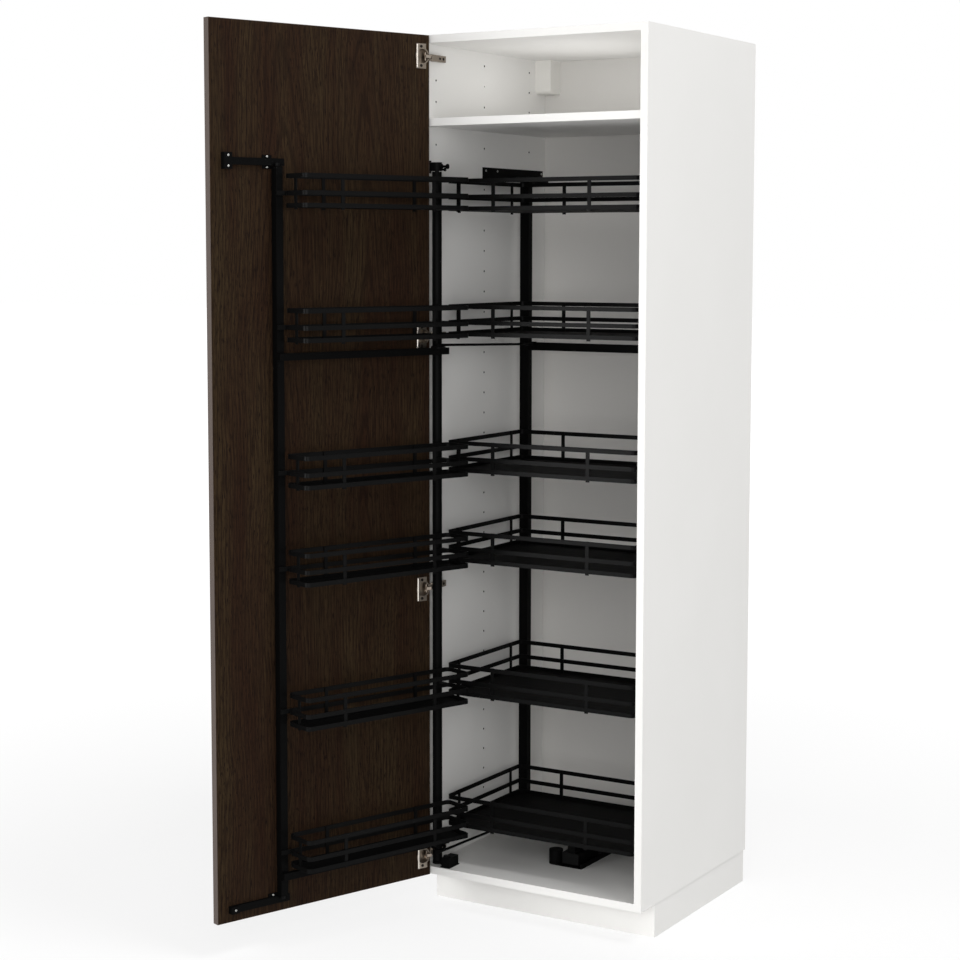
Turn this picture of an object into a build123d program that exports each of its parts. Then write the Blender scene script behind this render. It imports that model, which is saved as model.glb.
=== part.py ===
from build123d import *
import math
import os

# A tall larder cabinet. Its left-hung door carries six baskets on a swing frame and draws six more
# forward on an inner frame. Millimetres, +X right, +Y into the cabinet, +Z up. The origin is on the
# floor under the middle of the plinth front board. The door stands open.

# Carcase boards
width = 600
depth = 580
carcase_h = 2000
board = 18
back_t = 3
back_inset = 6
groove_depth = 8
groove_slack = 0.2
shelf_drop = 200.5
shelf_setback = 4
shelf_rear_gap = 1
shelf_hole_r = 2.5
shelf_hole_deep = 12
shelf_hole_lift = 100
shelf_hole_in = 270

# Plinth and legs
plinth_h = 80
plinth_board = 16
plinth_setback = 75
plinth_inset = 2.5
plinth_gap = 0.5
leg_side_inset = 70
leg_front_gap = 45
leg_rear_inset = 70
leg_r = 15
leg_flange = 64
leg_flange_t = 5
leg_lift = 20
foot_r = 25
foot_t = 6
stem_r = 6
stem_reach = 20
stem_slack = 0.05
clip_w = 26
clip_h = 22
clip_low = 34

# Wall suspension housings in the top rear corners
hanger_w = 45
hanger_d = 51
hanger_h = 84
hanger_round = 10

# Door leaf
reveal = 1.5
door_air = 2
door_t = 18
edging_t = 1
opening = 109.7

# Concealed hinges
top_hinge_drop = 50.5
hinge_heights = (1299.5, 699.5, 49.5)
arm_pin_out = 9.5
arm_pin_in = 9.8
cup_pin_in = 7.4
cup_pin_deep = 4.2
link_swing = 55.4
pin_r = 1.5
pin_slack = 0.05
eye_r = 2.3
link_t = 2.4
link_w = 7
cheek_gap = 0.4
cheek_t = 2.4
neck_lift = 1.5
neck_in = 9
elbow_lift = 4
elbow_out = 0.5
plate_t = 4
plate_reach = 22
plate_half = 7.5
plate_centre = 50
arm_front = 14
arm_rear = 76
arm_t = 7
arm_half = 7.5
cup_r = 17.5
cup_edge = 3
cup_deep = 13
cup_wall = 1
cup_slack = 0.1
flange_t = 1.5
flange_half = 28.5
flange_near = 10
flange_far = 38
cup_rim = 2
rim_notch = 5.5

# Swing frame on the door
pivot_out = 26
pivot_in = 12.5
post_r = 11.5
post_bottom = 14
post_drop = 106.5
spigot_r = 5
spigot_reach = 20
spigot_slack = 0.05
free_from_edge = 164
free_off = 14
free_size = 18
swing_bar_h = 16
swing_bar_t = 12
upper_bar_drop = 21
lower_bar_drop = 10
lug_half = 9
roller_r = 5.5
roller_gap = 0.5
roller_h = 6
roller_lift = 2

# Drive from the swing frame to the inner frame
lever_t = 3
lever_hub_wall = 1.2
lever_slack = 0.05
pin_reach = 40
drive_pin_r = 3
window_r = 12.5
window_end_r = 6.2
window_at = 48
window_end_at = 68
lever_wall = 5
swing_turn = 107.85
rod_r = 3
rod_gap = 2
rod_fall = 15

# Baskets
bar_h = 10
bar_t = 2.5
corner_r = 12
rail_drops = (0, 37.4, 64.8)
floor_t = 1.5
tab = 4
upright_w = 9
upright_t = 2.5
long_uprights = 127
top_basket_drop = 127.2
basket_heights = (1350, 1026, 810, 486, 162)
door_basket_near = -36
door_basket_back = 27
door_basket_front = 109
inner_basket_side = 29
inner_basket_front = 50
inner_basket_rear = 400
inner_end_uprights = 124
clip_half = 8
clip_lap = 28

# Rails on the door leaf for the free post
rail_lead = 23
rail_from_edge = 29
rail_t = 8
rail_h = 16
rail_foot_t = 3
rail_foot_h = 30
rail_foot_w = 24
rail_foot_past = 19
rail_stop_w = 20
rail_stop_h = 36
rail_stop_t = 14
low_rail_lift = 5

# Brackets of the pivot post
bracket_t = 3
bracket_h = 30
bracket_arm_t = 20
bracket_gap = 2
knob_r = 6
knob_t = 3
knob_reach = 19
low_knob_r = 4
low_knob_reach = 12
low_knob_drop = 7.2
low_screw_r = 2.5
nut_r = 6.5
nut_t = 2
screw_r = 3
block_w = 22
block_d = 43
block_h = 24
block_gap = 14.5
block_lead = 6.5
block_foot_t = 2
block_foot_past = 2
tongue_t = 5

# Inner frame
inner_post_w = 25
inner_post_d = 18
inner_post_over = 4
inner_post_gap = 3
inner_post_bottom = 32
inner_bar_h = 20
inner_bar_t = 12
inner_bar_drop = 24
hook_w = 20

# Wall guides the inner frame hangs on
guide_from = 261
guide_to = 556
guide_t = 3
guide_h = 32
guide_flange = 20
guide_lip = 7
shoe_w = 10
shoe_d = 28
shoe_gap = 0.4
hanger_plate_t = 3
lip_gap = 1

# Floor guide of the inner frame
floor_rail_x = 21
floor_rail_w = 72
floor_rail_from = 165
floor_rail_to = 545
floor_rail_t = 3
floor_rail_wall = 12
carriage_w = 44
carriage_from = 175
carriage_len = 100
carriage_gap = 1.5
beam_w = 20
beam_from = 180
stop_r = 17
stop_h = 35
stop_out = 43

# Places that follow from the sizes
half = width / 2
inner = half - board
front = -(plinth_setback + plinth_board / 2)
rear = front + depth
floor_z = plinth_h + board
roof_z = plinth_h + carcase_h
back_face = rear - back_inset - back_t
shelf_z = roof_z - shelf_drop
shelf_under = shelf_z - board / 2
hinges = [roof_z - top_hinge_drop] + [plinth_h + h for h in hinge_heights]
levels = [shelf_under - top_basket_drop] + [floor_z + h for h in basket_heights]
basket_low = rail_drops[-1] + bar_h / 2 + tab
leg_x = half - leg_side_inset
leg_ys = (plinth_board / 2 + leg_front_gap, rear - leg_rear_inset)
door_w = width - 2 * reveal
door_low = plinth_h + reveal
door_high = roof_z - reveal
free_along = door_w - free_from_edge
door_basket_far = free_along - free_size / 2
rail_from = free_along - rail_lead
rail_to = door_w - rail_from_edge
rail_foot_at = free_along + rail_foot_past
inner_basket_half = inner - inner_basket_side


def turned(point, centre, degrees):
    """A point turned about a vertical axis."""
    a = math.radians(degrees)
    dx = point[0] - centre[0]
    dy = point[1] - centre[1]
    x = centre[0] + dx * math.cos(a) - dy * math.sin(a)
    y = centre[1] + dx * math.sin(a) + dy * math.cos(a)
    return (x, y)


def slab(x0, x1, y0, y1, z0, z1, mode=Mode.ADD):
    """A block between two corners."""
    with Locations(((x0 + x1) / 2, (y0 + y1) / 2, (z0 + z1) / 2)):
        Box(x1 - x0, y1 - y0, z1 - z0, mode=mode)


def column(x, y, z0, z1, r, mode=Mode.ADD):
    """An upright cylinder."""
    with Locations((x, y, (z0 + z1) / 2)):
        Cylinder(r, z1 - z0, mode=mode)


# The hinge carries the leaf from shut to open: the link turns on the arm pin, the leaf on the cup pin
arm_pin = (-inner + arm_pin_out, front + arm_pin_in)
shut_corner = (-half + reveal, front - door_air)
shut_cup_pin = (shut_corner[0] + cup_pin_in, shut_corner[1] - cup_pin_deep)
cup_pin = turned(shut_cup_pin, arm_pin, link_swing)
corner_step = (shut_corner[0] - shut_cup_pin[0], shut_corner[1] - shut_cup_pin[1])
open_step = turned(corner_step, (0, 0), -opening)
corner = (cup_pin[0] + open_step[0], cup_pin[1] + open_step[1])
along = turned((1, 0), (0, 0), -opening)
leaf = Plane(origin=(corner[0], corner[1], 0), x_dir=(along[0], along[1], 0), z_dir=(0, 0, 1))

# The pivot post in the carcase and as seen from the leaf
pivot = (-inner + pivot_out, front + pivot_in)
seen = leaf.to_local_coords(Vector(pivot[0], pivot[1], 0))
post_s = seen.X
post_off = seen.Y
post_face = post_off + post_r
post_z0 = floor_z + post_bottom
post_z1 = shelf_under - post_drop
upper_bar = levels[1] - basket_low - upper_bar_drop
lower_bar = levels[5] - basket_low - lower_bar_drop
free_front = free_off + free_size / 2
rail_z = post_z1 + roller_lift + rail_h / 2
low_rail_z = floor_z + low_rail_lift + rail_h / 2
free_z0 = low_rail_z + rail_h / 2 + roller_lift

# The inner frame behind its baskets
inner_y0 = front + inner_basket_rear + inner_post_gap
inner_y1 = inner_y0 + inner_post_d
bar_y0 = inner_y0 + (inner_post_d - inner_bar_t) / 2
inner_x1 = inner_basket_half + inner_post_over
inner_x0 = inner_x1 - inner_post_w
inner_upper_bar = levels[1] - basket_low - inner_bar_drop
inner_lower_bar = levels[5] - basket_low - lower_bar_drop - inner_bar_drop - inner_bar_h / 10
guide_z = post_z1 - guide_t * 4
hanger_z = guide_z + guide_t + guide_lip + lip_gap
drive_x = pivot[0] + pin_reach
drive_y = pivot[1] - pin_reach * math.tan(math.radians(swing_turn / 2))

os.makedirs("parts", exist_ok=True)

# Side panels, grooved for the back, each with a bore for a shelf pin above the fixed shelf
for side, name in ((-1, "side_panel_left"), (1, "side_panel_right")):
    with BuildPart() as panel:
        x0, x1 = sorted((side * inner, side * half))
        slab(x0, x1, front, rear, plinth_h, roof_z)
        g0, g1 = sorted((side * inner, side * (inner + groove_depth)))
        y0 = back_face - groove_slack
        y1 = back_face + back_t + groove_slack
        slab(g0, g1, y0, y1, plinth_h, roof_z, Mode.SUBTRACT)
        with Locations((side * (inner + shelf_hole_deep / 2), front + shelf_hole_in, shelf_z + shelf_hole_lift)):
            Cylinder(shelf_hole_r, shelf_hole_deep, rotation=(0, 90, 0), mode=Mode.SUBTRACT)
    panel.part.label = name
    export_step(panel.part, "parts/" + name + ".step")

# Top and bottom between the sides, with the same groove
for name, z0, z1, g0, g1 in (
    ("top_panel", roof_z - board, roof_z, roof_z - board, roof_z - board + groove_depth),
    ("bottom_panel", plinth_h, floor_z, floor_z - groove_depth, floor_z),
):
    with BuildPart() as deck:
        slab(-inner, inner, front, rear, z0, z1)
        y0 = back_face - groove_slack
        y1 = back_face + back_t + groove_slack
        slab(-inner, inner, y0, y1, g0, g1, Mode.SUBTRACT)
    deck.part.label = name
    export_step(deck.part, "parts/" + name + ".step")

# Thin back sheet, held in the grooves
with BuildPart() as back_panel:
    reach = groove_depth - groove_slack
    slab(-inner - reach, inner + reach, back_face, back_face + back_t, floor_z - reach, roof_z - board + reach)
back_panel.part.label = "back_panel"
export_step(back_panel.part, "parts/back_panel.step")

# Fixed shelf over the pull-out
with BuildPart() as fixed_shelf:
    slab(-inner, inner, front + shelf_setback, back_face - shelf_rear_gap, shelf_z - board / 2, shelf_z + board / 2)
fixed_shelf.part.label = "fixed_shelf"
export_step(fixed_shelf.part, "parts/fixed_shelf.step")

# Housings of the wall hooks
with BuildPart() as suspension_housings:
    for side in (-1, 1):
        x0, x1 = sorted((side * inner, side * (inner - hanger_w)))
        slab(x0, x1, back_face - hanger_d, back_face, roof_z - board - hanger_h, roof_z - board)
    fillet(suspension_housings.edges().filter_by(Axis.X).group_by(Axis.Y)[0].group_by(Axis.Z)[0], hanger_round)
suspension_housings.part.label = "suspension_housings"
export_step(suspension_housings.part, "parts/suspension_housings.step")

# Four plastic legs under the bottom panel
with BuildPart() as leg_bodies:
    for x in (-leg_x, leg_x):
        for y in leg_ys:
            with Locations((x, y, plinth_h - leg_flange_t / 2)):
                Box(leg_flange, leg_flange, leg_flange_t)
            column(x, y, leg_lift, plinth_h - leg_flange_t, leg_r)
            column(x, y, leg_lift, leg_lift + stem_reach + plinth_gap, stem_r + stem_slack, Mode.SUBTRACT)
leg_bodies.part.label = "leg_bodies"
export_step(leg_bodies.part, "parts/leg_bodies.step")

# Screwed feet in the legs
with BuildPart() as leg_feet:
    for x in (-leg_x, leg_x):
        for y in leg_ys:
            column(x, y, 0, foot_t, foot_r)
            column(x, y, foot_t, leg_lift, leg_r - cheek_t)
            column(x, y, leg_lift, leg_lift + stem_reach, stem_r)
leg_feet.part.label = "leg_feet"
export_step(leg_feet.part, "parts/leg_feet.step")

# Plinth: one board across the front and a return on each side
plinth_x = half - plinth_inset
plinth_top = plinth_h - plinth_gap
with BuildPart() as plinth_front:
    slab(-plinth_x, plinth_x, -plinth_board / 2, plinth_board / 2, 0, plinth_top)
plinth_front.part.label = "plinth_front"
export_step(plinth_front.part, "parts/plinth_front.step")
for side, name in ((-1, "plinth_left"), (1, "plinth_right")):
    with BuildPart() as plinth_side:
        x0, x1 = sorted((side * plinth_x, side * (plinth_x - plinth_board)))
        slab(x0, x1, plinth_board / 2, rear - back_inset, 0, plinth_top)
    plinth_side.part.label = name
    export_step(plinth_side.part, "parts/" + name + ".step")

# Clips between the plinth and the front legs
with BuildPart() as plinth_clips:
    for x in (-leg_x, leg_x):
        slab(x - clip_w / 2, x + clip_w / 2, plinth_board / 2, leg_ys[0] - leg_r, clip_low, clip_low + clip_h)
plinth_clips.part.label = "plinth_clips"
export_step(plinth_clips.part, "parts/plinth_clips.step")

# Hinge mounting plates on the left side
with BuildPart() as hinge_plates:
    for z in hinges:
        y = front + plate_centre
        slab(-inner, -inner + plate_t, y - plate_reach, y + plate_reach, z - plate_half, z + plate_half)
hinge_plates.part.label = "hinge_plates"
export_step(hinge_plates.part, "parts/hinge_plates.step")

# Hinge arms on the plates, with two cheeks and the pin of the link
cheek_in = link_w / 2 + cheek_gap
cheek_out = cheek_in + cheek_t
arm_x = -inner + plate_t
with BuildPart() as hinge_arms:
    for z in hinges:
        slab(arm_x, arm_x + arm_t, front + arm_front, front + arm_rear, z - arm_half, z + arm_half)
        for z0, z1 in ((z - cheek_out, z - cheek_in), (z + cheek_in, z + cheek_out)):
            slab(arm_x, arm_pin[0] + eye_r, arm_pin[1] - eye_r, front + arm_front, z0, z1)
        column(arm_pin[0], arm_pin[1], z - cheek_out, z + cheek_out, pin_r)
hinge_arms.part.label = "hinge_arms"
export_step(hinge_arms.part, "parts/hinge_arms.step")

# Goose-neck hinge links: out of the cup, round the corner of the leaf, back to the arm
neck = leaf.from_local_coords(Vector(neck_in, neck_lift, 0))
elbow = leaf.from_local_coords(Vector(-elbow_out, elbow_lift, 0))
with BuildPart() as hinge_links:
    for z in hinges:
        with BuildSketch(Plane.XY.offset(z - link_w / 2)):
            with BuildLine():
                Polyline(cup_pin, (neck.X, neck.Y), (elbow.X, elbow.Y), arm_pin)
            trace(line_width=link_t)
            with Locations(cup_pin, arm_pin):
                Circle(eye_r)
                Circle(pin_r + pin_slack, mode=Mode.SUBTRACT)
        extrude(amount=link_w)
hinge_links.part.label = "hinge_links"
export_step(hinge_links.part, "parts/hinge_links.step")

# Door leaf with the cup bores, and the edging round it
cup_s = cup_edge + cup_r
with BuildPart(leaf) as door_panel:
    slab(edging_t, door_w - edging_t, -door_t, 0, door_low + edging_t, door_high - edging_t)
    for z in hinges:
        with Locations((cup_s, -cup_deep / 2, z)):
            Cylinder(cup_r + cup_slack, cup_deep, rotation=(90, 0, 0), mode=Mode.SUBTRACT)
door_panel.part.label = "door_panel"
export_step(door_panel.part, "parts/door_panel.step")
with BuildPart(leaf) as door_edging:
    slab(0, door_w, -door_t, 0, door_low, door_high)
    slab(edging_t, door_w - edging_t, -door_t, 0, door_low + edging_t, door_high - edging_t, Mode.SUBTRACT)
door_edging.part.label = "door_edging"
export_step(door_edging.part, "parts/door_edging.step")

# Hinge cups: a shell in the bore, a flange and a notched rim on the leaf, and the pin of the link
with BuildPart(leaf) as hinge_cups:
    shell = cup_deep - cup_slack
    hollow = shell - cup_wall
    for z in hinges:
        with Locations((cup_s, flange_t / 2, z)):
            Cylinder(cup_r + cup_rim, flange_t, rotation=(90, 0, 0))
        slab(cup_s - cup_r - cup_rim, flange_near, 0, flange_t, z - rim_notch, z + rim_notch, Mode.SUBTRACT)
        slab(flange_near, flange_far, 0, flange_t, z - flange_half, z + flange_half)
        with Locations((cup_s, -shell / 2, z)):
            Cylinder(cup_r, shell, rotation=(90, 0, 0))
        with Locations((cup_s, (flange_t - hollow) / 2, z)):
            Cylinder(cup_r - cup_wall, hollow + flange_t, rotation=(90, 0, 0), mode=Mode.SUBTRACT)
        chord = math.sqrt(cup_r ** 2 - (cup_s - cup_pin_in + pin_r) ** 2)
        column(cup_pin_in, -cup_pin_deep, z - chord, z + chord, pin_r)
hinge_cups.part.label = "hinge_cups"
export_step(hinge_cups.part, "parts/hinge_cups.step")

# Rails on the leaf that the free post runs along, each with a foot and an end stop
for name, z, low in (("door_rail_top", rail_z, 0), ("door_rail_bottom", low_rail_z, 1)):
    with BuildPart(leaf) as door_rail:
        slab(rail_from, rail_to, 0, rail_t, z - rail_h / 2, z + rail_h / 2)
        stop_half = rail_h / 2 if low else rail_stop_h / 2
        slab(rail_to - rail_stop_w, rail_to, 0, rail_stop_t, z - stop_half, z + stop_half)
        foot_low = z - rail_h / 2 if low else z - rail_foot_h / 2
        foot = rail_foot_at - rail_foot_w / 2
        slab(foot, foot + rail_foot_w, 0, rail_foot_t, foot_low, z + rail_foot_h / 2)
    door_rail.part.label = name
    export_step(door_rail.part, "parts/" + name + ".step")

# Pivot post, bored at both ends for the bracket spigots
bore_r = spigot_r + spigot_slack
with BuildPart() as pivot_post:
    column(pivot[0], pivot[1], post_z0, post_z1, post_r)
    column(pivot[0], pivot[1], post_z0, post_z0 + spigot_reach, bore_r, Mode.SUBTRACT)
    column(pivot[0], pivot[1], post_z1 - spigot_reach, post_z1, bore_r, Mode.SUBTRACT)
pivot_post.part.label = "pivot_post"
export_step(pivot_post.part, "parts/pivot_post.step")

# Top bracket on the side: wall plate, arm, spigot and two adjusting screws, the upper one with a lock nut
arm_z = post_z1 + bracket_gap
arm_mid = arm_z + bracket_arm_t / 2
bracket_r = post_r + flange_t / 3
with BuildPart() as pivot_bracket_top:
    y0 = pivot[1] - bracket_r
    y1 = pivot[1] + bracket_r
    slab(-inner, -inner + bracket_t, y0, y1, arm_mid - bracket_h / 2, arm_mid + bracket_h / 2)
    slab(-inner, pivot[0], y0, y1, arm_z, arm_z + bracket_arm_t)
    column(pivot[0], pivot[1], arm_z, arm_z + bracket_arm_t, bracket_r)
    column(pivot[0], pivot[1], arm_z - spigot_reach, arm_z, spigot_r)
    out = pivot[0] + bracket_r
    low_z = arm_mid - low_knob_drop
    for x0, x1, z, r in (
        (pivot[0], out + knob_reach, arm_mid, screw_r),
        (out - nut_t / 2, out + nut_t, arm_mid, nut_r),
        (out + knob_reach - knob_t, out + knob_reach, arm_mid, knob_r),
        (pivot[0], out + low_knob_reach, low_z, low_screw_r),
        (out + low_knob_reach - knob_t, out + low_knob_reach, low_z, low_knob_r),
    ):
        with BuildSketch(Plane(origin=(x0, pivot[1], z), x_dir=(0, 1, 0), z_dir=(1, 0, 0))):
            Circle(r)
        extrude(amount=x1 - x0)
pivot_bracket_top.part.label = "pivot_bracket_top"
export_step(pivot_bracket_top.part, "parts/pivot_bracket_top.step")

# Bottom bracket on the cabinet floor: block on a wider foot, tongue under the post and spigot
tongue_z = post_z0 - bracket_gap
with BuildPart() as pivot_bracket_bottom:
    x0 = pivot[0] + block_gap
    x1 = x0 + block_w
    y0 = pivot[1] - block_lead
    y1 = y0 + block_d
    past = block_foot_past
    slab(x0, x1, y0, y1, floor_z, floor_z + block_h)
    slab(x0 - past, x1 + past, y0 - past, y1 + past, floor_z, floor_z + block_foot_t)
    slab(pivot[0], x1, y0, pivot[1] + block_lead, tongue_z - tongue_t, tongue_z)
    column(pivot[0], pivot[1], tongue_z - tongue_t, tongue_z, bracket_r)
    column(pivot[0], pivot[1], tongue_z, tongue_z + spigot_reach, spigot_r)
pivot_bracket_bottom.part.label = "pivot_bracket_bottom"
export_step(pivot_bracket_bottom.part, "parts/pivot_bracket_bottom.step")

# Free post with a roller at each end, running along the rails of the leaf
with BuildPart(leaf) as free_post:
    s0 = free_along - free_size / 2
    slab(s0, s0 + free_size, free_off - free_size / 2, free_front, free_z0, post_z1)
free_post.part.label = "free_post"
export_step(free_post.part, "parts/free_post.step")
with BuildPart(leaf) as post_rollers:
    y = rail_t + roller_gap + roller_r
    column(free_along, y, post_z1, post_z1 + roller_lift, screw_r)
    column(free_along, y, post_z1 + roller_lift, post_z1 + roller_lift + roller_h, roller_r)
    column(free_along, y, free_z0 - roller_lift, free_z0, screw_r)
    column(free_along, y, free_z0 - roller_lift - roller_h, free_z0 - roller_lift, roller_r)
post_rollers.part.label = "post_rollers"
export_step(post_rollers.part, "parts/post_rollers.step")

# Two cross bars between the posts of the swing frame
with BuildPart(leaf) as swing_bars:
    for z in (upper_bar, lower_bar):
        s0 = post_s - lug_half
        slab(s0, free_along + free_size / 2, free_front, free_front + swing_bar_t, z - swing_bar_h, z)
        slab(s0, post_s + lug_half, post_face, free_front, z - swing_bar_h, z)
swing_bars.part.label = "swing_bars"
export_step(swing_bars.part, "parts/swing_bars.step")

# Slotted levers on the pivot post that push the inner frame
heading = -swing_turn / 2
with BuildPart() as drive_levers:
    for z in (upper_bar, lower_bar - swing_bar_h - lever_t):
        lever = Plane(origin=(pivot[0], pivot[1], z)).rotated((0, 0, heading))
        with BuildSketch(lever):
            Circle(post_r + lever_hub_wall)
            with Locations((window_at, 0)):
                Circle(window_r + lever_wall)
            with Locations((window_end_at, 0)):
                Circle(window_end_r + lever_wall)
            make_hull()
            Circle(post_r + lever_slack, mode=Mode.SUBTRACT)
        extrude(amount=lever_t)
        with BuildSketch(lever):
            with Locations((window_at, 0)):
                Circle(window_r)
            with Locations((window_end_at, 0)):
                Circle(window_end_r)
            make_hull()
        extrude(amount=lever_t, mode=Mode.SUBTRACT)
drive_levers.part.label = "drive_levers"
export_step(drive_levers.part, "parts/drive_levers.step")

# Rods of the inner frame, each with a pin in a lever slot and a lug on a cross bar
upper_rod = upper_bar + lever_t + rod_gap + rod_r
lower_rod = lower_bar - swing_bar_h - lever_t - rod_gap - rod_r
with BuildPart() as link_rods:
    for z, pin_to in ((upper_rod, upper_bar + rod_gap / 2), (lower_rod, lower_bar - swing_bar_h - rod_gap / 2)):
        start = Vector(drive_x, drive_y - drive_pin_r, z)
        end = Vector(drive_x, bar_y0 - rod_r, z - rod_fall)
        with BuildSketch(Plane(origin=start, x_dir=(1, 0, 0), z_dir=end - start)):
            Circle(rod_r)
        extrude(amount=(end - start).length)
        column(drive_x, drive_y, min(z, pin_to), max(z, pin_to), drive_pin_r)
        lug = z - rod_fall
        lug_w = 2 * rod_r
        slab(drive_x - lug_w, drive_x + lug_w, bar_y0 - lug_w, bar_y0, lug - lug_w, lug + lug_w)
link_rods.part.label = "link_rods"
export_step(link_rods.part, "parts/link_rods.step")


def basket(plane, cx, cy, length, across, top, end_uprights):
    """A welded basket: three hoops of flat bar, a sheet floor and uprights that end in tabs below it."""
    low = top - basket_low
    high = top + bar_h / 2
    mid = (low + high) / 2
    dy = across / 2 - bar_t - upright_t / 2
    dx = length / 2 - bar_t - upright_t / 2
    with BuildPart(plane) as welded:
        for drop in rail_drops:
            with BuildSketch(plane.offset(top - drop - bar_h / 2)):
                with Locations((cx, cy)):
                    RectangleRounded(length, across, corner_r)
                    RectangleRounded(length - 2 * bar_t, across - 2 * bar_t, corner_r - bar_t, mode=Mode.SUBTRACT)
            extrude(amount=bar_h)
        with BuildSketch(plane.offset(top - rail_drops[-1] - bar_h / 2)):
            with Locations((cx, cy)):
                RectangleRounded(length - bar_t, across - bar_t, corner_r - bar_t / 2)
        extrude(amount=floor_t)
        for sx in (-long_uprights, long_uprights):
            for sy in (-dy, dy):
                with Locations((cx + sx, cy + sy, mid)):
                    Box(upright_w, upright_t, high - low)
        for sy in end_uprights:
            for sx in (-dx, dx):
                with Locations((cx + sx, cy + sy, mid)):
                    Box(upright_t, upright_w, high - low)
    return welded.part


# Six baskets on the swing frame
door_cx = (door_basket_near + door_basket_far) / 2
door_cy = (door_basket_back + door_basket_front) / 2
door_len = door_basket_far - door_basket_near
door_across = door_basket_front - door_basket_back
for i, top in enumerate(levels):
    door_basket = basket(leaf, door_cx, door_cy, door_len, door_across, top, (0,))
    name = "door_basket_" + str(i + 1)
    door_basket.label = name
    export_step(door_basket, "parts/" + name + ".step")

# Clips that hold those baskets to the two posts
with BuildPart(leaf) as door_basket_clips:
    for top in levels:
        z = top - rail_drops[1]
        slab(post_s - clip_half, post_s + clip_half, post_face, door_basket_back, z - bar_h / 2, z + bar_h / 2)
        s1 = free_along + free_size / 2
        slab(door_basket_far - clip_lap, s1, free_front, door_basket_back, z - bar_h / 2, z + bar_h / 2)
door_basket_clips.part.label = "door_basket_clips"
export_step(door_basket_clips.part, "parts/door_basket_clips.step")

# Six wide baskets on the inner frame
inner_cy = front + (inner_basket_front + inner_basket_rear) / 2
inner_across = inner_basket_rear - inner_basket_front
for i, top in enumerate(levels):
    ends = (-inner_end_uprights, inner_end_uprights)
    inner_basket = basket(Plane.XY, 0, inner_cy, 2 * inner_basket_half, inner_across, top, ends)
    name = "inner_basket_" + str(i + 1)
    inner_basket.label = name
    export_step(inner_basket, "parts/" + name + ".step")

# Posts of the inner frame
for side, name in ((-1, "inner_post_left"), (1, "inner_post_right")):
    with BuildPart() as inner_post:
        x0, x1 = sorted((side * inner_x0, side * inner_x1))
        slab(x0, x1, inner_y0, inner_y1, floor_z + inner_post_bottom, hanger_z)
    inner_post.part.label = name
    export_step(inner_post.part, "parts/" + name + ".step")

# Cross bars of the inner frame and the beam that reaches forward to the floor carriage
with BuildPart() as inner_bars:
    for z in (inner_upper_bar, inner_lower_bar):
        slab(-inner_x0, inner_x0, bar_y0, bar_y0 + inner_bar_t, z - inner_bar_h, z)
    x0 = floor_rail_x - beam_w / 2
    slab(x0, x0 + beam_w, front + beam_from, bar_y0, inner_lower_bar - inner_bar_h, inner_lower_bar)
inner_bars.part.label = "inner_bars"
export_step(inner_bars.part, "parts/inner_bars.step")

# Hooks between the inner baskets and their posts
with BuildPart() as inner_basket_hooks:
    for top in levels:
        z = top - rail_drops[1]
        for side in (-1, 1):
            x = side * (inner_x0 + inner_x1) / 2
            x -= side * corner_r / 2
            y1 = front + inner_basket_rear
            slab(x - hook_w / 2, x + hook_w / 2, y1, inner_y0, z - bar_h / 2, z + bar_h / 2)
inner_basket_hooks.part.label = "inner_basket_hooks"
export_step(inner_basket_hooks.part, "parts/inner_basket_hooks.step")

# Guides on both sides that the inner frame hangs on
for side, name in ((-1, "wall_guide_left"), (1, "wall_guide_right")):
    with BuildPart() as wall_guide:
        y0 = front + guide_from
        y1 = front + guide_to
        for a, b, z0, z1 in (
            (inner - guide_t, inner, guide_z, guide_z + guide_h),
            (inner - guide_flange, inner, guide_z, guide_z + guide_t),
            (inner - guide_flange, inner - guide_flange + guide_t, guide_z, guide_z + guide_t + guide_lip),
        ):
            x0, x1 = sorted((side * a, side * b))
            slab(x0, x1, y0, y1, z0, z1)
    wall_guide.part.label = name
    export_step(wall_guide.part, "parts/" + name + ".step")

# Hangers: a plate over the guide lip with a sliding shoe under it
shoe_x = inner - (guide_t + guide_flange - guide_t) / 2
with BuildPart() as inner_hangers:
    yc = (inner_y0 + inner_y1) / 2
    for side in (-1, 1):
        x0, x1 = sorted((side * (shoe_x + shoe_w / 2), side * inner_x0))
        slab(x0, x1, yc - shoe_d / 2, yc + shoe_d / 2, hanger_z, hanger_z + hanger_plate_t)
        x0, x1 = sorted((side * (shoe_x + shoe_w / 2), side * (shoe_x - shoe_w / 2)))
        slab(x0, x1, yc - shoe_d / 2, yc + shoe_d / 2, guide_z + guide_t + shoe_gap, hanger_z)
inner_hangers.part.label = "inner_hangers"
export_step(inner_hangers.part, "parts/inner_hangers.step")

# Floor rail with its end stop
rail_x0 = floor_rail_x - floor_rail_w / 2
rail_x1 = floor_rail_x + floor_rail_w / 2
with BuildPart() as floor_rail:
    y0 = front + floor_rail_from
    y1 = front + floor_rail_to
    slab(rail_x0, rail_x1, y0, y1, floor_z, floor_z + floor_rail_t)
    for x0 in (rail_x0, rail_x1 - floor_rail_t):
        slab(x0, x0 + floor_rail_t, y0, y1, floor_z, floor_z + floor_rail_wall)
    column(floor_rail_x - stop_out, y0 + stop_r, floor_z, floor_z + stop_h, stop_r)
    slab(floor_rail_x - stop_out, rail_x0, y0, y0 + 2 * stop_r, floor_z, floor_z + floor_rail_t)
floor_rail.part.label = "floor_rail"
export_step(floor_rail.part, "parts/floor_rail.step")

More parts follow.
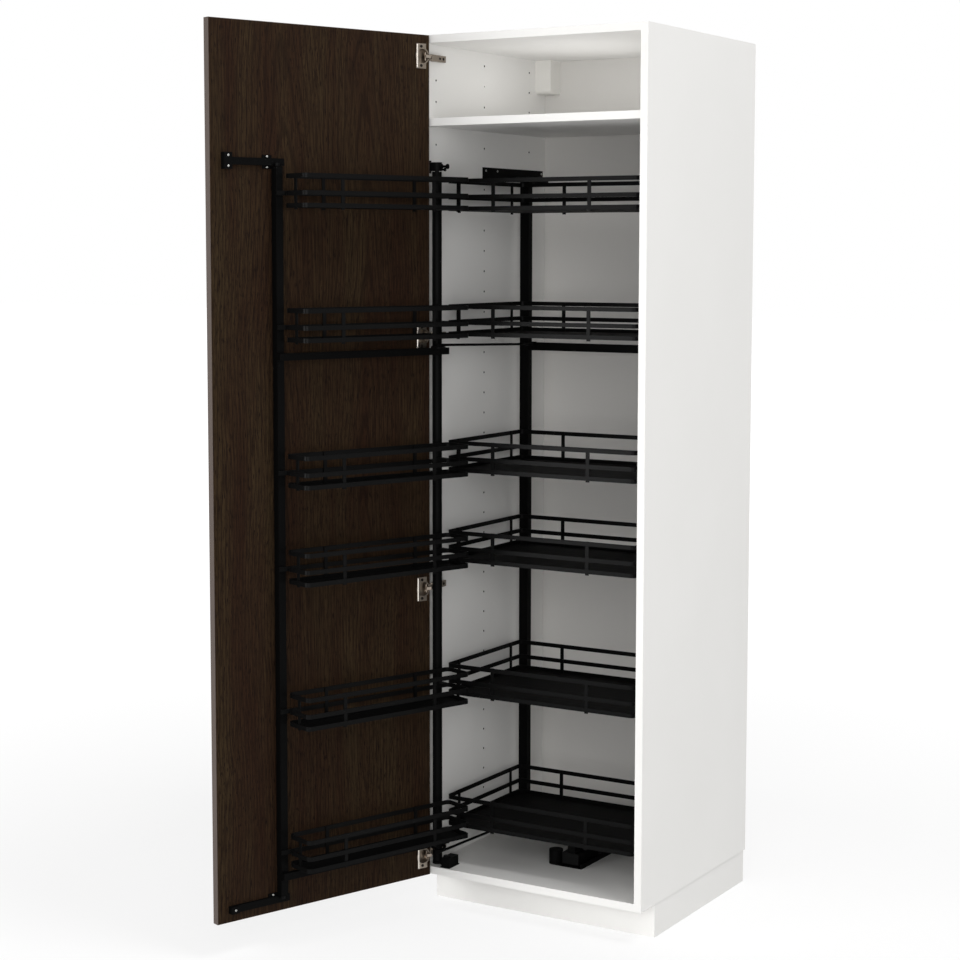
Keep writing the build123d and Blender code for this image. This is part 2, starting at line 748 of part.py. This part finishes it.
# Carriage of the inner frame in the floor rail
with BuildPart() as floor_carriage:
    x0 = floor_rail_x - carriage_w / 2
    y0 = front + carriage_from
    z0 = floor_z + floor_rail_t + carriage_gap
    slab(x0, x0 + carriage_w, y0, y0 + carriage_len, z0, inner_lower_bar - inner_bar_h)
floor_carriage.part.label = "floor_carriage"
export_step(floor_carriage.part, "parts/floor_carriage.step")
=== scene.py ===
import math

import bmesh
import bpy
from mathutils import Matrix, Vector


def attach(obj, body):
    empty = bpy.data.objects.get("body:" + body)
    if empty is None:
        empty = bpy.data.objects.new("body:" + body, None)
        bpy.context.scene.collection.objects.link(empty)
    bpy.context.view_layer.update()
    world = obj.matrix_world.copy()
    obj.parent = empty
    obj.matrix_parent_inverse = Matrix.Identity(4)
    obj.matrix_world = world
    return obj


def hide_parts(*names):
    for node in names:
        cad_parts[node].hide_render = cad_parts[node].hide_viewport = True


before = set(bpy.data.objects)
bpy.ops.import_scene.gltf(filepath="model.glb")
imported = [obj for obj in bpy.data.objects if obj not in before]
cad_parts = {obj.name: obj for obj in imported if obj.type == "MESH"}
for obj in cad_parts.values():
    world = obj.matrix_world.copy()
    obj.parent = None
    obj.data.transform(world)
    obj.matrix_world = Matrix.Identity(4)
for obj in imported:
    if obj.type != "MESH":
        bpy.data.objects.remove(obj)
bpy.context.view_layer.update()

# Carcase boards: 18 mm chipboard faced with white melamine, doweled and glued into a box, with edge
# bands of the same white. The press plate leaves a pearl texture that softens the gloss; as with
# all fine grain below, it is drawn coarser than it is so that it shows, 1.2 mm for 0.4 mm.


def linear(text):
    """An sRGB hex colour as linear light."""
    parts = [int(text[i:i + 2], 16) / 255 for i in (1, 3, 5)]
    return [c / 12.92 if c <= 0.04045 else ((c + 0.055) / 1.055) ** 2.4 for c in parts] + [1.0]


def add(tree, kind, inputs, **settings):
    """A shader node with its settings; each input is a value or the socket it is fed from."""
    node = tree.nodes.new(kind)
    for key, value in settings.items():
        setattr(node, key, value)
    for key, value in inputs.items():
        if isinstance(value, bpy.types.NodeSocket):
            tree.links.new(value, node.inputs[key])
        else:
            node.inputs[key].default_value = value
    return node


def surface(name):
    """A new material with an empty node tree."""
    mat = bpy.data.materials.new(name)
    mat.use_nodes = True
    mat.node_tree.nodes.clear()
    return mat, mat.node_tree


def coated(name, low, high, grain_mm, rough, relief_mm, metal=0.0, specular=0.5, stretch=(1, 1, 1)):
    """A coated, moulded or plated surface: two close tones, its grain, uneven gloss and relief."""
    cloud_mm, gloss_spread, bump = 300, 0.07, 0.6
    mat, tree = surface(name)
    where = add(tree, "ShaderNodeTexCoord", {})
    put = add(tree, "ShaderNodeMapping", {"Vector": where.outputs["Object"], "Scale": stretch})
    fine = add(tree, "ShaderNodeTexNoise", {
        "Vector": put.outputs[0], "Scale": 1000 / grain_mm, "Detail": 3.0})
    cloud = add(tree, "ShaderNodeTexNoise", {
        "Vector": put.outputs[0], "Scale": 1000 / cloud_mm, "Detail": 3.0})
    both = add(tree, "ShaderNodeMath", {0: fine.outputs[0], 1: cloud.outputs[0]}, operation="ADD")
    half = add(tree, "ShaderNodeMath", {0: both.outputs[0], 1: 0.5}, operation="MULTIPLY")
    tone = add(tree, "ShaderNodeMixRGB", {0: half.outputs[0], 1: linear(low), 2: linear(high)})
    gloss = add(tree, "ShaderNodeMapRange", {
        0: half.outputs[0], 3: rough - gloss_spread, 4: rough + gloss_spread})
    lift = add(tree, "ShaderNodeBump", {
        "Strength": bump, "Distance": relief_mm / 1000, "Height": fine.outputs[0]})
    skin = add(tree, "ShaderNodeBsdfPrincipled", {
        "Base Color": tone.outputs[0], "Roughness": gloss.outputs[0], "Metallic": metal,
        "Specular IOR Level": specular, "Normal": lift.outputs[0]})
    add(tree, "ShaderNodeOutputMaterial", {"Surface": skin.outputs[0]})
    return mat


def dress(mat, *names):
    """Gives CAD nodes a material."""
    for name in names:
        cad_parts[name].data.materials.clear()
        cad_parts[name].data.materials.append(mat)


melamine = coated("pressed white melamine", "#e9e8e5", "#f4f3f1", 1.2, 0.42, 0.02, specular=0.3)
dress(melamine, "top_panel", "bottom_panel", "fixed_shelf")

# Side panels: the same board, drilled on the inside with 5 mm bores for shelf pins, 50 mm apart and
# 12 mm deep. Three columns of bores serve the upper compartment, and the middle one goes on down to the
# cabinet floor. The drill leaves bare chipboard, rough and dark brown, and the lining is painted darker
# still as painted shade for the inside of the bore, so a bore reads as a dot.
inner_face = 282
bore_r, bore_deep, bore_lead, bore_sides = 2.5, 12, 1, 16
lowest_bore, bore_pitch, bore_rows = 129.5, 50, 39
front_column, middle_column, rear_column = -33, 187, 407
three_columns_from = 1800
shelf_z, shelf_room = 1879.5, 20
top_hinge_from = 2020
cad_bore = (187, 1979.5)


def piece(name, mat, body):
    """A new visual piece that rides on a body and takes the finish it is given."""
    obj = bpy.data.objects.new(name, bpy.data.meshes.new(name))
    bpy.context.scene.collection.objects.link(obj)
    obj.data.materials.append(mat)
    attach(obj, body)
    return obj


def circle(r, h, sides=24):
    """A level ring of points; millimetres."""
    turns = [2 * math.pi * i / sides for i in range(sides)]
    return [(r * math.cos(a), r * math.sin(a), h) for a in turns]


def through(bm, at, axis, loops):
    """A closed solid through rings of equally many points, standing on a point along an axis."""
    upright = Vector(axis).to_track_quat("Z", "Y").to_matrix().to_4x4()
    place = Matrix.Translation(Vector(at) / 1000) @ upright
    rows = [[bm.verts.new(place @ (Vector(p) / 1000)) for p in loop] for loop in loops]
    for low, high in zip(rows, rows[1:]):
        for i in range(len(low)):
            bm.faces.new((low[i - 1], low[i], high[i], high[i - 1]))
    bm.faces.new(rows[0][::-1])
    bm.faces.new(rows[-1])


def close(bm, obj):
    """Writes the collected solids into a piece."""
    bm.to_mesh(obj.data)
    bm.free()


# Painted shade: the bore lining is darker than bare chipboard, for the shade inside each bore.
chipboard_and_bore_shade = coated("drilled chipboard with painted shade", "#19140f", "#241c16", 0.8, 0.9, 0.05, specular=0.1)
for name, side in (("left", -1), ("right", 1)):
    drill = bpy.data.objects.new("drill", bpy.data.meshes.new("drill"))
    bpy.context.scene.collection.objects.link(drill)
    bm = bmesh.new()
    for row in range(bore_rows):
        z = lowest_bore + bore_pitch * row
        upper = z > three_columns_from
        for y in (front_column, middle_column, rear_column) if upper else (middle_column,):
            behind_hinge = side < 0 and y == front_column and z > top_hinge_from
            behind_shelf = abs(z - shelf_z) <= shelf_room
            if not behind_hinge and not behind_shelf and (y, z) != cad_bore:
                through(bm, (side * (inner_face - bore_lead), y, z), (side, 0, 0), (
                    circle(bore_r, 0, bore_sides), circle(bore_r, bore_lead + bore_deep, bore_sides)))
    for face in bm.faces:
        face.material_index = 1
    close(bm, drill)
    board = piece("side_board_" + name, melamine, "carcase")
    bm = bmesh.new()
    bm.from_mesh(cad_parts["side_panel_" + name].data)
    bmesh.ops.remove_doubles(bm, verts=bm.verts, dist=1e-6)
    close(bm, board)
    for owner in (board, drill):
        while len(owner.data.materials) < 2:
            owner.data.materials.append(chipboard_and_bore_shade)
    cut = board.modifiers.new("bores", "BOOLEAN")
    cut.operation = "DIFFERENCE"
    cut.solver = "EXACT"
    cut.object = drill
    bpy.context.view_layer.update()
    cut_board = board.evaluated_get(bpy.context.evaluated_depsgraph_get())
    drilled = bpy.data.meshes.new_from_object(cut_board)
    board.modifiers.clear()
    board.data = drilled
    bpy.data.objects.remove(drill)
    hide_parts("side_panel_" + name)

# Back sheet: 3 mm hardboard, lacquered white on the room side and slid into grooves in the boards.
# The lacquer lies thinner than melamine, so the sheet is smoother and a little greyer.
dress(coated("rolled white lacquer on hardboard", "#d8d6d2", "#e2e0dd", 2.5, 0.5, 0.015, specular=0.25),
      "back_panel")

# Suspension housings: white moulded covers over the hooks that hold the cabinet to the wall.
# They are pushed on in the top rear corners; the mould gives them a smooth, slightly waxy skin.
dress(coated("moulded white ABS", "#e6e4df", "#efeeea", 1.5, 0.38, 0.01, specular=0.4),
      "suspension_housings")

# Legs and feet: black polypropylene, moulded with a dull eroded skin and screwed to the bottom panel
# from below. The feet turn on a thread and have grip ribs for the hand; the clips hold the plinth to
# the front legs.
leg_x, leg_ys = 230, (53, 427)
ribs, rib_ring, rib_z, rib_sides = 18, 23.6, 1, 8
rib_rings = ((1.3, 0), (1.3, 3.6), (0.7, 4.4))
plastic = coated("moulded black polypropylene", "#0a0a0a", "#111111", 0.9, 0.5, 0.02, specular=0.06)
dress(plastic, "leg_bodies", "leg_feet", "plinth_clips")
bm = bmesh.new()
for x in (-leg_x, leg_x):
    for y in leg_ys:
        for dx, dy, _ in circle(rib_ring, 0, ribs):
            through(bm, (x + dx, y + dy, rib_z), (0, 0, 1), [circle(r, h, rib_sides) for r, h in rib_rings])
close(bm, piece("foot_grip_ribs", plastic, "carcase"))

# Plinth boards: white foil-faced board, clipped to the legs and standing on the floor.
# The foil is wrapped over a fibre core, so its shine is a little softer than the melamine's.
dress(coated("wrapped white foil", "#e9e8e5", "#f3f2f0", 1.6, 0.45, 0.02, specular=0.3),
      "plinth_front", "plinth_left", "plinth_right")

# Door leaf: 18 mm board faced with a dark brown oak-grain melamine whose grain runs upright.
# The print has two mirrored flames of growth rings on an olive to red brown ground, and the press
# plate embosses the pores; the face is matt. Real pores are 0.3 mm wide and are drawn at 1.4 mm.
hung_x, hung_y, open_angle = -263.44, -92.04, 109.7
leaf = Matrix.Translation((hung_x, hung_y, 0)) @ Matrix.Rotation(math.radians(-open_angle), 4, "Z")
leaf_half, flame_z = 0.2985, 0.62
flame_apart, flame_squash, ring_mm = 0.112, 0.055, 9.2
sway_reach = (0.05, 0.0, 0.35)
oak_grain, tree = surface("embossed oak-grain melamine")


def streaks(tree, source, across_mm, along_mm, detail, roughness=0.5):
    """Noise stretched up the leaf, with its size across and along the grain."""
    put = add(tree, "ShaderNodeMapping", {
        "Vector": source.outputs[0], "Scale": (1000 / across_mm, 1000 / across_mm, 1000 / along_mm)})
    return add(tree, "ShaderNodeTexNoise", {
        "Vector": put.outputs[0], "Scale": 1.0, "Detail": detail, "Roughness": roughness})


where = add(tree, "ShaderNodeTexCoord", {})
start = add(tree, "ShaderNodeVectorMath", {
    0: where.outputs["Object"], 1: (-hung_x / 1000, -hung_y / 1000, 0)}, operation="ADD")
along = add(tree, "ShaderNodeMapping", {
    "Vector": start.outputs[0], "Rotation": (0, 0, math.radians(open_angle))})
drift = streaks(tree, along, 165, 620, 2.5)
centred = add(tree, "ShaderNodeVectorMath", {0: drift.outputs[1], 1: (0.5, 0.5, 0.5)}, operation="SUBTRACT")
sway = add(tree, "ShaderNodeVectorMath", {0: centred.outputs[0], 1: sway_reach}, operation="MULTIPLY")
bent = add(tree, "ShaderNodeVectorMath", {0: along.outputs[0], 1: sway.outputs[0]}, operation="ADD")
middle = add(tree, "ShaderNodeVectorMath", {
    0: bent.outputs[0], 1: (leaf_half, 0.0, flame_z)}, operation="SUBTRACT")
mirror = add(tree, "ShaderNodeVectorMath", {0: middle.outputs[0]}, operation="ABSOLUTE")
flame = add(tree, "ShaderNodeMapping", {
    "Vector": mirror.outputs[0], "Location": (-flame_apart, 0, 0), "Scale": (1, 0, flame_squash)})
ring = add(tree, "ShaderNodeTexWave", {
    "Vector": flame.outputs[0], "Scale": math.pi / 10 * 1000 / ring_mm, "Distortion": 1.8, "Detail": 3.0,
    "Detail Scale": 3.0, "Detail Roughness": 0.6}, wave_type="RINGS", rings_direction="SPHERICAL")
late = add(tree, "ShaderNodeMapRange", {0: ring.outputs[1], 1: 0.74, 2: 0.99, 4: 0.6})
patch = streaks(tree, bent, 70, 900, 4.0, 0.6)
spread = add(tree, "ShaderNodeMapRange", {0: patch.outputs[0], 1: 0.35, 2: 0.65})
fibre = streaks(tree, bent, 1.8, 70, 3.0, 0.6)
strand = add(tree, "ShaderNodeMapRange", {0: fibre.outputs[0], 1: 0.36, 2: 0.56})
pore = streaks(tree, bent, 1.4, 22, 1.5)
deep = add(tree, "ShaderNodeMapRange", {0: pore.outputs[0], 1: 0.58, 2: 0.66})
inked = add(tree, "ShaderNodeMath", {0: late.outputs[0], 1: strand.outputs[0]}, operation="MULTIPLY")
ground = add(tree, "ShaderNodeMixRGB", {0: spread.outputs[0], 1: linear("#2b1b11"), 2: linear("#362a1b")})
lines = add(tree, "ShaderNodeMixRGB", {0: strand.outputs[0], 1: linear("#180e08"), 2: ground.outputs[0]})
year = add(tree, "ShaderNodeMixRGB", {0: inked.outputs[0], 1: lines.outputs[0], 2: linear("#110906")})
printed = add(tree, "ShaderNodeMixRGB", {0: deep.outputs[0], 1: year.outputs[0], 2: linear("#0d0705")})
dull = add(tree, "ShaderNodeMapRange", {0: fibre.outputs[0], 3: 0.6, 4: 0.8})
dip = add(tree, "ShaderNodeMath", {0: strand.outputs[0], 1: deep.outputs[0]}, operation="SUBTRACT")
lift = add(tree, "ShaderNodeBump", {"Strength": 0.5, "Distance": 0.0002, "Height": dip.outputs[0]})
skin = add(tree, "ShaderNodeBsdfPrincipled", {
    "Base Color": printed.outputs[0], "Roughness": dull.outputs[0], "Specular IOR Level": 0.06,
    "Normal": lift.outputs[0]})
add(tree, "ShaderNodeOutputMaterial", {"Surface": skin.outputs[0]})
dress(oak_grain, "door_panel")

# Edge band of the leaf: thin ABS strip in a greyer brown, glued on all round and scraped flush.
# Its printed grain shows as long faint streaks.
dress(coated("scraped brown ABS", "#453a34", "#564a43", 0.7, 0.45, 0.02, specular=0.3, stretch=(1, 1, 0.05)),
      "door_edging")

# Concealed hinges: nickel-plated pressed steel, with the plate on the side panel and the cup in the
# leaf. Cross-slot screws hold the cup flanges and set the arms, oxidised black so that they read as
# dark dots; the far edge of each flange is rolled and takes a much lighter copy of the nickel, a painted
# highlight.
hinge_heights = (2029.5, 1379.5, 779.5, 129.5)
arm_top_x, arm_screw_ys, arm_screw = -271, (-33, -18), (3.2, 1.2)
flange_face, cup_along, cup_screw_up, cup_screw = 1.5, 24, 22, (3.6, 1.6)
roll_along, roll_wide, roll_high, roll_sides = 35.4, 2.2, 1.6, 16
roll_end, roll_long, roll_taper = 1, 55, 0.5
nickel = coated("pressed nickel-plated steel", "#857b70", "#a3998e", 0.5, 0.3, 0.005, metal=1.0)
# Painted highlight: a much lighter copy of the hinge nickel, used on the rolled flange edges.
nickel_painted_highlight = coated("nickel-plated steel with painted highlight", "#ddd5cb", "#efe8df", 0.5, 0.2, 0.003, metal=1.0)
oxide = coated("black-oxidised steel", "#17130f", "#231d18", 0.4, 0.5, 0.01, specular=0.2)
dress(nickel, "hinge_plates", "hinge_arms", "hinge_links", "hinge_cups")


def on_leaf(along, off, z):
    """A place on the inner face of the leaf: along its width, off the face, height; millimetres."""
    return leaf @ Vector((along, off, z))


def screw(bm, at, axis, r, h):
    """A pan-head screw with a cross recess."""
    arm, slit = 0.5 * r, 0.15 * r
    middle = (arm + slit) / 2
    quarter = ((arm, 0), (arm, slit), (middle, slit), (slit, slit), (slit, middle), (slit, arm))
    cross = []
    for turn in range(4):
        for x, y in quarter:
            for _ in range(turn):
                x, y = -y, x
            cross.append((x, y))
    through(bm, at, axis, (
        circle(r, 0), circle(r, 0.35 * h), circle(0.85 * r, 0.85 * h), circle(0.65 * r, h),
        [(x, y, h) for x, y in cross], [(x, y, 0.4 * h) for x, y in cross]))


room = leaf.to_3x3() @ Vector((0, 1, 0))
bm = bmesh.new()
for z in hinge_heights:
    for y in arm_screw_ys:
        screw(bm, (arm_top_x, y, z), (1, 0, 0), *arm_screw)
close(bm, piece("hinge_arm_screws", oxide, "carcase"))
bm = bmesh.new()
for z in hinge_heights:
    for dz in (-cup_screw_up, cup_screw_up):
        screw(bm, on_leaf(cup_along, flange_face, z + dz), room, *cup_screw)
close(bm, piece("hinge_cup_screws", oxide, "door"))
bm = bmesh.new()
roll_rings = ((roll_taper, 0), (1, roll_end), (1, roll_long - roll_end), (roll_taper, roll_long))
for z in hinge_heights:
    rolled = [[leaf.to_3x3() @ Vector((roll_wide * k * x, roll_high * k * y, h))
               for x, y, _ in circle(1, 0, roll_sides)] for k, h in roll_rings]
    through(bm, on_leaf(roll_along, flange_face, z - roll_long / 2), (0, 0, 1), rolled)
close(bm, piece("hinge_rolled_edges", nickel_painted_highlight, "door"))

# Rails on the leaf: steel bars with a foot and an end stop, coated in matt black powder.
# Each is screwed through its foot and stop into the leaf with pan-head screws, whose zinc plate
# leaves small bright dots on the black.
rail_screws = ((452, 3, 1762.4), (452, 3, 1785.6), (558, 14, 1762.5), (558, 14, 1785.5),
               (452, 3, 122.6), (558, 14, 111))
small_screw = (2.8, 1.6)
coat = coated("black powder-coated steel", "#060606", "#0b0b0b", 0.7, 0.45, 0.02, specular=0.03)
dress(coat, "door_rail_top", "door_rail_bottom")
zinc = coated("zinc-plated steel", "#9d9d9a", "#bcbcb9", 0.4, 0.3, 0.004, metal=1.0)
bm = bmesh.new()
for place in rail_screws:
    screw(bm, on_leaf(*place), room, *small_screw)
close(bm, piece("door_rail_screws", zinc, "door"))

# Brackets of the pivot post: black-coated steel on the side panel and on the cabinet floor.
# A black plug, pushed in, covers the floor bracket's screw.
plug_at = (-232.5, -66, 121.5)
plug_rings = ((8, 0), (8, 3.4), (7.2, 4.6), (5.5, 5))
dress(coat, "pivot_bracket_top", "pivot_bracket_bottom")
bm = bmesh.new()
through(bm, plug_at, (0, 0, 1), [circle(r, h) for r, h in plug_rings])
close(bm, piece("floor_bracket_plug", plastic, "carcase"))

# Swing frame: round pivot post, square free post, cross bars and drive levers, all in the same black
# powder coat. Rollers and basket clips are moulded plastic.
dress(coat, "pivot_post", "free_post", "swing_bars", "drive_levers")
dress(plastic, "post_rollers", "door_basket_clips")

# Baskets: flat bars and a sheet bottom welded together and powder-coated.
# The coat is anthracite and satin on upright faces and duller on level ones. Level faces, sheets and bar
# tops
# alike, are also painted blacker: painted shade for the shade that falls under the basket above.
peel_mm, cloud_mm = 0.8, 120
bars, tree = surface("anthracite powder-coated steel")
where = add(tree, "ShaderNodeTexCoord", {})
facing = add(tree, "ShaderNodeSeparateXYZ", {0: where.outputs["Normal"]})
level = add(tree, "ShaderNodeMath", {0: facing.outputs[2]}, operation="ABSOLUTE")
peel = add(tree, "ShaderNodeTexNoise", {
    "Vector": where.outputs["Object"], "Scale": 1000 / peel_mm, "Detail": 3.0})
cloud = add(tree, "ShaderNodeTexNoise", {
    "Vector": where.outputs["Object"], "Scale": 1000 / cloud_mm, "Detail": 3.0})
bar = add(tree, "ShaderNodeMixRGB", {0: cloud.outputs[0], 1: linear("#090909"), 2: linear("#0f0f0f")})
# Painted shade: level faces take a blacker copy of the coat than upright faces.
level_painted_shade = add(tree, "ShaderNodeMixRGB", {0: cloud.outputs[0], 1: linear("#050505"), 2: linear("#0a0a0a")})
tone = add(tree, "ShaderNodeMixRGB", {0: level.outputs[0], 1: bar.outputs[0], 2: level_painted_shade.outputs[0]})
gloss = add(tree, "ShaderNodeMapRange", {0: level.outputs[0], 3: 0.3, 4: 0.62})
lift = add(tree, "ShaderNodeBump", {"Strength": 0.5, "Distance": 0.00002, "Height": peel.outputs[0]})
skin = add(tree, "ShaderNodeBsdfPrincipled", {
    "Base Color": tone.outputs[0], "Roughness": gloss.outputs[0], "Specular IOR Level": 0.05,
    "Normal": lift.outputs[0]})
add(tree, "ShaderNodeOutputMaterial", {"Surface": skin.outputs[0]})
for i in range(1, 7):
    dress(bars, "door_basket_%d" % i, "inner_basket_%d" % i)

# Inner frame: posts, cross bars and link rods of black-coated steel.
# Hooks, hangers with their sliding shoes and the floor carriage are moulded plastic.
dress(coat, "inner_post_left", "inner_post_right", "inner_bars", "link_rods")
dress(plastic, "inner_basket_hooks", "inner_hangers", "floor_carriage")

# Guides: pressed steel rails on both sides and on the floor, in the same black powder coat.
# Zinc-plated screws hold them to the boards.
wall_x, wall_z, wall_ys = 279, 1776, (190, 245, 465)
floor_rail_x, floor_rail_z, floor_rail_ys, floor_rail_screw = -8.5, 101, (150, 300, 450), (3.0, 1.6)
dress(coat, "wall_guide_left", "wall_guide_right", "floor_rail")
bm = bmesh.new()
for side in (-1, 1):
    for y in wall_ys:
        screw(bm, (side * wall_x, y, wall_z), (-side, 0, 0), *small_screw)
for y in floor_rail_ys:
    screw(bm, (floor_rail_x, y, floor_rail_z), (0, 0, 1), *floor_rail_screw)
close(bm, piece("guide_screws", zinc, "carcase"))

# Studio: a white paper floor in a white surround, with soft lamps at the front right, at the left and
# high at the right, and a small one in the top compartment for the light that its boards throw back.
# Seen directly or in a reflection, floor and surround are white; the floor keeps a soft shadow.
floor_half = 40
fade_from, fade_to, fade_low = 1.2, 6.0, 0.76
surround_light = 0.48


def seen(tree):
    """Whether floor or surround are looked at, directly, in a reflection or through something."""
    ray = add(tree, "ShaderNodeLightPath", {})
    looked_at = ray.outputs["Is Camera Ray"]
    for way in ("Is Glossy Ray", "Is Transmission Ray"):
        either = add(tree, "ShaderNodeMath", {0: looked_at, 1: ray.outputs[way]}, operation="MAXIMUM")
        looked_at = either.outputs[0]
    return looked_at


mesh = bpy.data.meshes.new("studio_floor")
corners = ((-1, -1), (1, -1), (1, 1), (-1, 1))
mesh.from_pydata([(x * floor_half, y * floor_half, 0) for x, y in corners], [], [(0, 1, 2, 3)])
floor = bpy.data.objects.new("studio_floor", mesh)
bpy.context.scene.collection.objects.link(floor)
paper, tree = surface("white studio paper")
plain = add(tree, "ShaderNodeBsdfDiffuse", {"Color": (0.8, 0.8, 0.8, 1.0)})
pale = add(tree, "ShaderNodeBsdfDiffuse", {"Color": (0.25, 0.25, 0.25, 1.0)})
spot = add(tree, "ShaderNodeTexCoord", {})
reach = add(tree, "ShaderNodeVectorMath", {0: spot.outputs["Object"]}, operation="LENGTH")
fade = add(tree, "ShaderNodeMapRange", {
    0: reach.outputs["Value"], 1: fade_from, 2: fade_to, 3: fade_low, 4: 1.0})
glow = add(tree, "ShaderNodeEmission", {"Color": (1.0, 1.0, 1.0, 1.0), "Strength": fade.outputs[0]})
lit = add(tree, "ShaderNodeAddShader", {0: pale.outputs[0], 1: glow.outputs[0]})
both = add(tree, "ShaderNodeMixShader", {0: seen(tree), 1: plain.outputs[0], 2: lit.outputs[0]})
add(tree, "ShaderNodeOutputMaterial", {"Surface": both.outputs[0]})
mesh.materials.append(paper)
world = bpy.data.worlds.new("white studio")
bpy.context.scene.world = world
world.use_nodes = True
tree = world.node_tree
tree.nodes.clear()
power = add(tree, "ShaderNodeMapRange", {0: seen(tree), 3: surround_light, 4: 1.0})
sky = add(tree, "ShaderNodeBackground", {"Color": (1.0, 1.0, 1.0, 1.0), "Strength": power.outputs[0]})
add(tree, "ShaderNodeOutputWorld", {"Surface": sky.outputs[0]})
for name, at, target, size, level in (
        ("front lamp", (2.1, -4.1, 1.7), (0, 0.1, 1.15), 3.0, 0.39),
        ("left lamp", (-2.3, -3.7, 1.0), (0, 0.1, 1.0), 1.8, 0.3),
        ("top right lamp", (3.0, -0.4, 6.2), (0, 0.1, 1.0), 2.6, 0.37),
        ("shelf lamp", (0.0, 0.2, 1.9), (0.0, 0.2, 2.08), 0.4, 0.95)):
    lamp = bpy.data.objects.new(name, bpy.data.lights.new(name, "AREA"))
    bpy.context.scene.collection.objects.link(lamp)
    way = Vector(at) - Vector(target)
    lamp.location = at
    lamp.rotation_euler = way.to_track_quat("Z", "Y").to_euler()
    lamp.visible_camera = False
    lamp.data.shape = "DISK"
    lamp.data.size = size
    lamp.data.energy = level * (math.pi * way.length) ** 2
picture_px, focal_px, level_row, sensor_mm = 960, 2028.7, 437, 36
pan, tilt, roll = (math.radians(a) for a in (31.305, -5.259, -0.061))
camera = bpy.data.objects.new("camera", bpy.data.cameras.new("camera"))
bpy.context.scene.collection.objects.link(camera)
bpy.context.scene.camera = camera
turn = Matrix.Rotation(pan, 3, "Z") @ Matrix.Rotation(tilt, 3, "X")
turn = turn @ Matrix.Rotation(roll, 3, "Y") @ Matrix.Rotation(math.radians(90), 3, "X")
camera.rotation_euler = turn.to_euler()
camera.location = (2.322, -4.114, 1.581)
camera.data.lens = focal_px * sensor_mm / picture_px
camera.data.sensor_width = sensor_mm
camera.data.shift_y = (level_row - picture_px / 2) / picture_px
camera.data.clip_end = 200
bpy.context.scene.view_settings.view_transform = "Standard"

bpy.context.view_layer.update()
